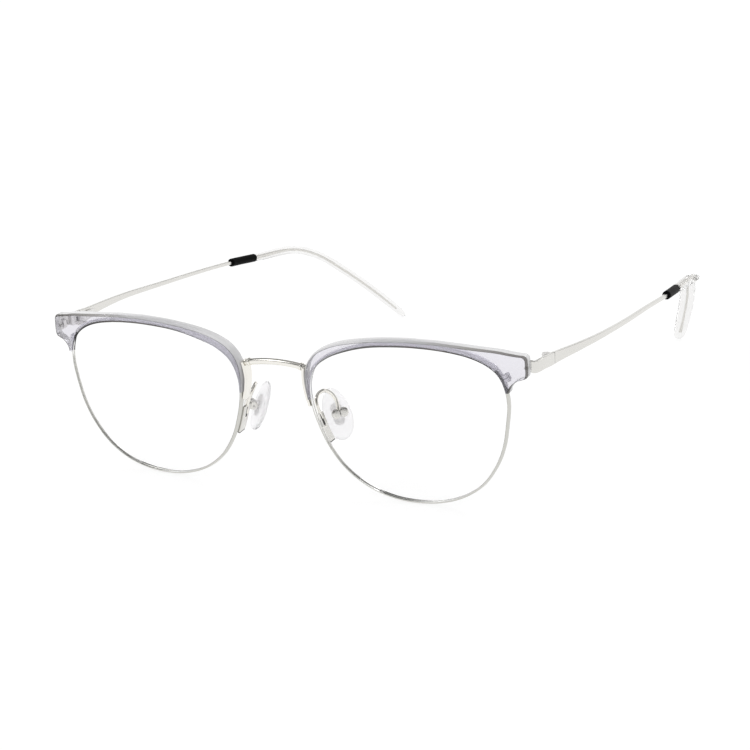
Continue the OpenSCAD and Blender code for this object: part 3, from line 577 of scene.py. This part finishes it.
# Brows: acetate over the top of each rim, with a wing at the temple end
def brow_section(t, outer):
    """Lip and front, rounded edge, back, then the channel over the rim."""
    half, wall = BROW_DEPTH / 2, RIM_DEPTH / 2 + CHANNEL_PLAY
    inner = rim_offset(t, RIM_THICK / 2 - BROW_LIP - np.interp(t, *LIP_EXTRA))
    channel = rim_offset(t, RIM_THICK / 2 + CHANNEL_PLAY)
    inward = unit(rim_at(t) - outer)
    b = min(BROW_ROUND, BROW_ROUND_SHARE * float(np.linalg.norm(rim_at(t) - outer)))
    c, low = BROW_CHAMFER, CHAMFER_SHARE * BROW_CHAMFER
    mid = inner * 0.5 + (outer + b * inward) * 0.5
    turns = [0.5 * math.pi * k / 6 for k in range(7)]
    points = [(inner, -half + c), (inner - low * inward, -half + low),
              (inner - c * inward, -half), (mid, -half)]
    points += [(outer + b * (1 - math.sin(a)) * inward, -half + b * (1 - math.cos(a)))
               for a in turns]
    points += [(outer + b * (1 - math.cos(a)) * inward, half - b * (1 - math.sin(a)))
               for a in turns]
    points += [(mid, half), (inner - c * inward, half), (inner - low * inward, half - low),
               (inner, half - c), (inner, wall), (channel, wall), (channel, -wall),
               (inner, -wall)]
    return [front_point(p, back) for p, back in points]


def brow_piece(side, word):
    rings = [brow_section(BROW_START, rim_offset(BROW_START, BROW_START_REACH))]
    fine = 6
    for i in range((len(BROW_POINTS) - 1) * fine + 1):
        row = open_curve(BROW_POINTS, i / fine)
        rings.append(brow_section(row[0], row[1:]))
    rings.append(brow_section(BROW_END, rim_offset(BROW_END, BROW_END_REACH)))
    mesh, slots = skin(rings), []
    for f in mesh[1]:
        strip = strip_of(f, len(rings[0]))
        slots.append(sum(k for low, high, k in BROW_STRIPS if low <= strip <= high))
    ob = make_object("brow_" + word + "_acetate", mesh, [face, edge, top, lip_painted_light, bevel],
                     "front", side, slots, smooth=48)
    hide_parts("brow_" + word)


# Bridge: round wire with flat legs and a collar at each joint
def bridge_piece():
    end = front_point(np.array([LEG_POINTS[1][0], BRIDGE_HEIGHT]), LEG_BACK)
    arc = (end[0] ** 2 + BRIDGE_RISE ** 2) / (2 * BRIDGE_RISE)
    half = math.asin(end[0] / arc)
    back, last = np.array([0, 1, 0]), len(LEG_POINTS) - 1

    def around(a, deep, tall, n):
        """Oval ring square to the wire, at an angle of its arc."""
        at = np.array([arc * math.sin(a), end[1], end[2] + BRIDGE_RISE - arc + arc * math.cos(a)])
        up = np.array([math.sin(a), 0, math.cos(a)])
        return [at + back * deep * math.cos(q) + up * tall * math.sin(q) for q in angles(n)]

    rings, steps = [], 60
    for i in range(steps + 1):
        a = -half + 2 * half * i / steps
        # the wire spreads and flattens a little where it meets each leg
        near = max(0.0, (abs(a) / half - SPREAD_START) / (1 - SPREAD_START)) ** 2
        rings.append(around(a, BRIDGE_WIRE * (1 + WIRE_SPREAD * near) / 2,
                            BRIDGE_WIRE * (1 - WIRE_FLATTEN * near) / 2, 28))
    parts = [(skin(rings), 0)]
    for sx in (1, -1):
        rings = []
        for i in range(8 * last + 1):
            s = i / 8
            at, ahead = [front_point(open_curve(LEG_POINTS, p), LEG_BACK)
                         for p in (s, s + RIM_STEP)]
            deep = LEG_DEPTH_TOP + (LEG_DEPTH_LOW - LEG_DEPTH_TOP) * min(1, s / 3)
            ends = min(1.0, LEG_END + 3 * s, LEG_END + 3 * (last - s))
            section = rounded(LEG_THICK * min(1, ends + 0.2), deep * ends, LEG_ROUND, 4)
            rings.append([p * np.array([sx, 1, 1]) for p in front_ring(at, ahead, section)])
        parts.append((skin(rings), 0))
    for sign in (-1, 1):
        for share, wide, radius, belly, slot in COLLARS:
            rings = []
            for k in range(-4, 5):
                swell = radius * BRIDGE_WIRE + COLLAR_LIFT - belly * (k / 4) ** 2
                a = sign * half * (share + wide * k / (4 * half * arc))
                rings.append(around(a, COLLAR_DEEP * swell, swell, 24))
            parts.append((skin(rings), slot))
    mesh, slots = join_parts(parts)
    ob = make_object("bridge_wire", mesh, [bright, gap_dark], "front", 1, slots,
                     smooth=45)
    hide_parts("bridge")


# Endpieces: foot on the brow's back, bend, and strip to the hinge
def endpiece_piece(side, word):
    back = BROW_DEPTH / 2 + BAR_GAP + STRIP_THICK / 2
    line = np.array([front_point(p, back) for p in BAR_POINTS] + [HINGE + p for p in BEND_POINTS])
    heights = np.array(BAR_HEIGHTS + [STRIP_HEIGHT] * len(BEND_POINTS))
    w, c, steps = STRIP_THICK / 2, STRIP_CHAMFER, 8

    def strip_ring(s, section):
        along = open_curve(line, s + WIRE_STEP) - open_curve(line, s - WIRE_STEP)
        return ring(open_curve(line, s), along, section)

    rings = []
    for i in range(steps * (len(line) - 1) + 1):
        h = min(STRIP_HEIGHT, open_curve(heights, i / steps)) / 2
        bevel_points = [(x - w, h - down) for x, down in ENDPIECE_BEVEL]
        rings.append(strip_ring(i / steps, [(w, h - c), (w - c, h)] + bevel_points + [
            (-w, c - h), (c - w, -h), (w - c, -h), (w, c - h)]))
    parts = [(skin(rings), 0)]
    # painted shade: a dark square and a dark bar on the inner side, as thin plates where the strip
    # turns
    inner, outer = w - MARK_DEPTH, w + MARK_PROUD
    for low, high, up, half, slot in ENDPIECE_SHADE_MARKS:
        section = [(inner, up - half), (outer, up - half), (outer, up + half), (inner, up + half)]
        rings = [strip_ring(low + (high - low) * k / 6, section) for k in range(7)]
        parts.append((skin(rings), slot))
    mesh, slots = join_parts(parts)
    ob = make_object("endpiece_" + word + "_strip", mesh, [silver, gap_dark, painted_shade_bar],
                     "front", side, slots, smooth=24)
    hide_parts("endpiece_" + word)


# Temples, sleeves and tips along one line
def temple_ring(s, section):
    at, before, after = [HINGE + open_curve(TEMPLE_POINTS, p)
                         for p in (s, s - TEMPLE_STEP, s + TEMPLE_STEP)]
    return ring(at, after - before, section)


def core_size(s):
    f = max(0.0, s - CORE_END + CORE_TAPER) / CORE_TAPER
    return (CORE_WIDTH + (CORE_FLAT[1] - CORE_WIDTH) * f,
            CORE_HEIGHT + (CORE_FLAT[0] - CORE_HEIGHT) * f)


def temple_piece(side, word):
    """Strip that narrows behind the hinge, then the core in the sleeve and the tip."""
    body = "temple_" + word + "_body"
    rings, steps = [], 96
    for i in range(steps + 1):
        s = STRIP_END * i / steps
        h = STRIP_HEIGHT * open_curve(STRIP_SHARES, s)
        rings.append(temple_ring(s, rounded(STRIP_THICK, h, STRIP_ROUND, 5)))
    steps = 120
    for i in range(1, steps + 1):
        s = STRIP_END + (CORE_END - STRIP_END) * i / steps
        w, h = core_size(s)
        slim = 1 - CORE_SLIM * min(1.0, max(0.0, s - CORE_SLIM_START))
        rings.append(temple_ring(s, rounded(w * slim, h * slim, CORE_ROUND * slim, 5)))
    ob = make_object("temple_" + word + "_strip", skin(rings), [silver], body, side,
                     smooth=45)
    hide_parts("temple_" + word)


def sleeve_piece(side, word):
    """Black tube with a slightly rolled lip at each end."""
    body = "temple_" + word + "_body"
    rings, length = [], SLEEVE_END - SLEEVE_START
    for a, r in filled(SLEEVE_PROFILE, 0.1, 10):
        size = SLEEVE_DIA * r
        rings.append(temple_ring(SLEEVE_START + length * a, oval(size, size, ROUND_POINTS)))
    for k in range(9):
        s = SLEEVE_END - length * k / 8
        w, h = core_size(s)
        rings.append(temple_ring(s, rounded(w + 2 * CORE_PLAY, h + 2 * CORE_PLAY, BORE_ROUND,
                                            ROUND_POINTS // 4 - 1)))
    ob = make_object("sleeve_" + word + "_tube", skin(rings, closed=True), [sleeve_black],
                     body, side)
    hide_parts("sleeve_" + word)


def tip_piece(side, word):
    """Solid: the core lies in the tip without a gap, as it is pressed in warm."""
    body = "temple_" + word + "_body"
    rings, fine = [temple_ring(SLEEVE_END, oval(*TIP_START, ROUND_POINTS))], 4
    for i in range(fine * (len(TIP_PROFILE) - 1) + 1):
        s, wide, thick = open_curve(TIP_PROFILE, i / fine)
        rings.append(temple_ring(s, oval(TIP_WIDTH * wide, TIP_THICK * thick, ROUND_POINTS)))
    ob = make_object("tip_" + word + "_clear", skin(rings), [clear_tip], body, side,
                     smooth=60)
    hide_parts("tip_" + word)


# Nose pads: soft mouldings round a small metal insert
def nose_pad_piece(side, word):
    rings = []
    for y, size in PAD_PROFILE:
        points = []
        for a in angles(56):
            narrow = 1 - PAD_NARROWING * math.cos(a)
            points.append(PAD_PLACE + PAD_FRAME @ np.array([
                PAD_WIDTH / 2 * size * narrow * math.sin(a), PAD_SEAT + y * PAD_THICK,
                PAD_HEIGHT / 2 * size * math.cos(a)]))
        rings.append(points)
    ob = make_object("nose_pad_" + word + "_moulding", skin(rings), [pad_soft],
                     "pad_" + word + "_body", side)
    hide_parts("nose_pad_" + word)


# Pad arms: foot with its slot and end cap in painted shade, bead, and the looped wire
def foot_ring(s, thick, deep):
    at, ahead = [front_point(rim_offset(p, FOOT_SHIFT), FOOT_BACK) for p in (s, s + RIM_STEP)]
    return front_ring(at, ahead, rounded(thick, deep, min(thick, deep) * FOOT_ROUND, 3))


def ball(at, radius):
    rings, rows = [], 12
    for i in range(1, rows):
        a = math.pi * i / rows
        rings.append([at + radius * np.array([math.sin(a) * math.cos(q), math.sin(a) * math.sin(q),
                                              math.cos(a)]) for q in angles(20)])
    return skin(rings)


def arm_piece(side, word):
    foot = [foot_ring(FOOT_START + (FOOT_END - FOOT_START) * f, LEG_THICK * r,
                      FOOT_DEPTH * (0.5 + 0.5 * r)) for f, r in filled(FOOT_PROFILE, 0.5, 14)]
    # painted shade: the slot is a dark plate standing just proud of the foot
    slot = [foot_ring(FOOT_SLOT_START + FOOT_SLOT_LENGTH * k / 8, LEG_THICK + FOOT_SLOT_PROUD,
                      FOOT_SLOT_DEPTH) for k in range(9)]
    cap = [foot_ring(FOOT_END + past, LEG_THICK * r, FOOT_DEPTH * CAP_SHARE)
           for past, r in CAP_PROFILE]
    bead = ball(front_point(rim_offset(BEAD_PLACE, FOOT_SHIFT), FOOT_BACK), BEAD_RADIUS)
    flat = np.array([math.cos(math.radians(PAD_TURN)), math.sin(math.radians(PAD_TURN)), 0])
    loop, fine = [], 6
    for i in range(fine * (len(ARM_POINTS) - 1) + 1):
        at, before, after = [open_curve(ARM_POINTS, i / fine + d)
                             for d in (0, -WIRE_STEP, WIRE_STEP)]
        t = unit(after - before)
        up = unit(flat - np.dot(flat, t) * t)
        across = np.cross(up, t)
        loop.append([ARM_ROOT + at + ARM_WIRE / 2 * (math.cos(q) * across + math.sin(q) * up)
                     for q in angles(24)])
    mesh, slots = join_parts([(skin(foot), 0), (skin(slot), 1), (skin(cap), 1), (bead, 2),
                              (skin(loop), 2)])
    ob = make_object("pad_arm_" + word + "_wire", mesh, [silver, gap_dark, bright],
                     "front", side, slots)
    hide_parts("pad_arm_" + word)


def box_piece(side, word):
    """Two ears and the two-lobed plate that joins them, with its slit and rivet hole as dark plates
    of painted shade.
    """
    shapes = []
    # an ear: round at the screw, straight back to the plate
    ear = [(EAR_RADIUS * math.cos(a), EAR_RADIUS * math.sin(a)) for a in half_turn(16)]
    ear += [(-EAR_REACH, EAR_RADIUS * EAR_NARROWING),
            (-EAR_REACH, -EAR_RADIUS * EAR_NARROWING)]
    for sx in (-1, 1):
        shapes.append(([[[sx * (EAR_GAP / 2 + x), p[0] * grow, p[1] * grow] for p in ear]
                        for x, grow in EAR_PROFILE], 0))
    # the plate: outline of two overlapping discs
    outline = []
    for a in angles(44):
        reach = LOBE_SHIFT * abs(math.cos(a)) + math.sqrt(
            LOBE_RADIUS * LOBE_RADIUS - (LOBE_SHIFT * math.sin(a)) ** 2)
        outline.append((reach * math.cos(a), reach * math.sin(a)))
    shapes.append(([[[x * grow, y, z * grow * LOBE_TALL] for x, z in outline]
                    for y, grow in PLATE_PROFILE], 0))
    # painted shade: slit and hole are dark plates, not cuts
    shapes.append(([[[x, y, z] for x, z in SLIT] for y in SLIT_BACK], 1))
    shapes.append(([[[HOLE_MIDDLE[0] + HOLE_SIZE[0] * math.cos(a), y,
                      HOLE_MIDDLE[1] + HOLE_SIZE[1] * math.sin(a)] for a in angles(18)]
                    for y in HOLE_BACK], 1))
    mesh, slots = join_parts([
        (skin([np.array(points) @ PAD_FRAME.T + PAD_PLACE for points in rings]), slot)
        for rings, slot in shapes])
    ob = make_object("pad_box_" + word + "_clamp", mesh, [silver, gap_dark], "front", side, slots,
                     smooth=40)
    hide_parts("pad_box_" + word)


def soften(ob):
    """Joins split corners of a node that shows as it is, and rounds its edges a little."""
    g = bpy.data.node_groups.new("soften_" + ob.name, "GeometryNodeTree")
    for way in ("INPUT", "OUTPUT"):
        g.interface.new_socket("Geometry", in_out=way, socket_type="NodeSocketGeometry")
    i, o = g.nodes.new("NodeGroupInput"), g.nodes.new("NodeGroupOutput")
    m = g.nodes.new("GeometryNodeMergeByDistance")
    m.inputs["Distance"].default_value = MERGE_REACH * MM
    wire(g, i.outputs[0], m.inputs["Geometry"])
    wire(g, m.outputs[0], o.inputs[0])
    ob.modifiers.new("merge", "NODES").node_group = g
    b = ob.modifiers.new("edge", "BEVEL")
    b.width = SOFT_EDGE * MM
    b.segments = 3
    b.limit_method = "ANGLE"
    b.angle_limit = math.radians(SOFT_ANGLE)
    b.harden_normals = False


for side, word in ((1, "left"), (-1, "right")):
    for piece in (rim_piece, lens_piece, brow_piece, temple_piece, sleeve_piece, tip_piece,
                  nose_pad_piece, endpiece_piece, arm_piece, box_piece):
        piece(side, word)
bridge_piece()

# Screws, hinges, lock blocks and pad inserts show as they are
for name, ob in frame["nodes"].items():
    if ob.hide_render:
        continue
    kind = steel if "screw" in name else hinge_metal
    if name.startswith("pad_insert"):
        kind = insert_metal
    if name.startswith(("rim_", "lock_")):
        kind = hidden_metal
    if name.startswith("hinge_screw"):
        kind = hinge_metal
    ob.data.materials.clear()
    ob.data.materials.append(kind)
    soften(ob)


# Floor, light and camera
scene = bpy.context.scene


def mirrored(t, path):
    """1 for rays that metal and glass show, 0 for the others."""
    return reckon(t, "MAXIMUM", path.outputs["Is Glossy Ray"],
                  path.outputs["Is Transmission Ray"])


def studio_floor():
    """Grey for the light that falls on it, white for the camera, metal and glass."""
    me = bpy.data.meshes.new("floor")
    r = FLOOR_HALF
    me.from_pydata([(-r, -r, 0), (r, -r, 0), (r, r, 0), (-r, r, 0)], [], [(0, 1, 2, 3)])
    ob = bpy.data.objects.new("floor", me)
    scene.collection.objects.link(ob)
    m = bpy.data.materials.new("floor_white")
    m.use_nodes = True
    t = m.node_tree
    b = t.nodes["Principled BSDF"]
    b.inputs["Base Color"].default_value = (0.3, 0.3, 0.3, 1)
    b.inputs["Roughness"].default_value = 0.9
    b.inputs["Specular IOR Level"].default_value = 0.0
    glow = t.nodes.new("ShaderNodeEmission")
    glow.inputs["Color"].default_value = (1, 1, 1, 1)
    path = t.nodes.new("ShaderNodeLightPath")
    seen = reckon(t, "MAXIMUM", mirrored(t, path), path.outputs["Is Camera Ray"])
    wire(t, reckon(t, "MULTIPLY", seen, FLOOR_GLOW), glow.inputs["Strength"])
    both = t.nodes.new("ShaderNodeAddShader")
    wire(t, b.outputs["BSDF"], both.inputs[0])
    wire(t, glow.outputs["Emission"], both.inputs[1])
    wire(t, both.outputs["Shader"], t.nodes["Material Output"].inputs["Surface"])
    me.materials.append(m)


def studio_world():
    """White for the camera, a darker upper room in metal and glass, soft light elsewhere."""
    world = bpy.data.worlds.new("studio")
    scene.world = world
    world.use_nodes = True
    t = world.node_tree
    t.nodes.clear()
    white, room, light = [t.nodes.new("ShaderNodeBackground") for _ in range(3)]
    white.inputs["Color"].default_value = (1, 1, 1, 1)
    light.inputs["Color"].default_value = (1, 1, 1, 1)
    light.inputs["Strength"].default_value = WORLD_LIGHT
    place = t.nodes.new("ShaderNodeTexCoord")
    parts = t.nodes.new("ShaderNodeSeparateXYZ")
    wire(t, place.outputs["Generated"], parts.inputs[0])
    ramp = colour_ramp(t, [(height, (grey, grey, grey)) for height, grey in ROOM_GREYS])
    wire(t, parts.outputs["Z"], ramp.inputs["Fac"])
    wire(t, ramp.outputs["Color"], room.inputs["Color"])
    path = t.nodes.new("ShaderNodeLightPath")
    shown = mix_shader(t, mirrored(t, path), light.outputs[0], room.outputs[0])
    seen = mix_shader(t, path.outputs["Is Camera Ray"], shown, white.outputs[0])
    wire(t, seen, t.nodes.new("ShaderNodeOutputWorld").inputs["Surface"])


def lamp(name, at, size, power):
    data = bpy.data.lights.new(name, "AREA")
    data.shape = "RECTANGLE"
    data.size, data.size_y = size
    data.energy = power
    ob = bpy.data.objects.new(name, data)
    scene.collection.objects.link(ob)
    ob.location = at
    aim = Vector(np.array(LAMP_AIM) - np.array(at))
    ob.rotation_euler = aim.to_track_quat("-Z", "Y").to_euler()


def photo_camera():
    """The photo's camera, solved in the front's own frame."""
    data = bpy.data.cameras.new("camera")
    data.sensor_width = SENSOR
    data.lens = FOCAL_PIXELS / PHOTO_PIXELS * SENSOR
    data.clip_start, data.clip_end = CLIP
    ob = bpy.data.objects.new("camera", data)
    scene.collection.objects.link(ob)
    scene.camera = ob
    r, u, w = TURN @ RIGHT, TURN @ UP, -(TURN @ VIEW)
    eye = to_row(EYE)[0]
    rows = [[r[k], u[k], w[k], eye[k]] for k in range(3)]
    ob.matrix_world = Matrix(rows + [[0, 0, 0, 1]])


studio_floor()
studio_world()
lamp("key", (-0.6, -0.5, 0.9), (0.35, 0.35), 1.2)
lamp("back", (0.2, 0.8, 0.8), (0.6, 0.25), 1.0)
photo_camera()

scene.view_settings.view_transform = "Standard"
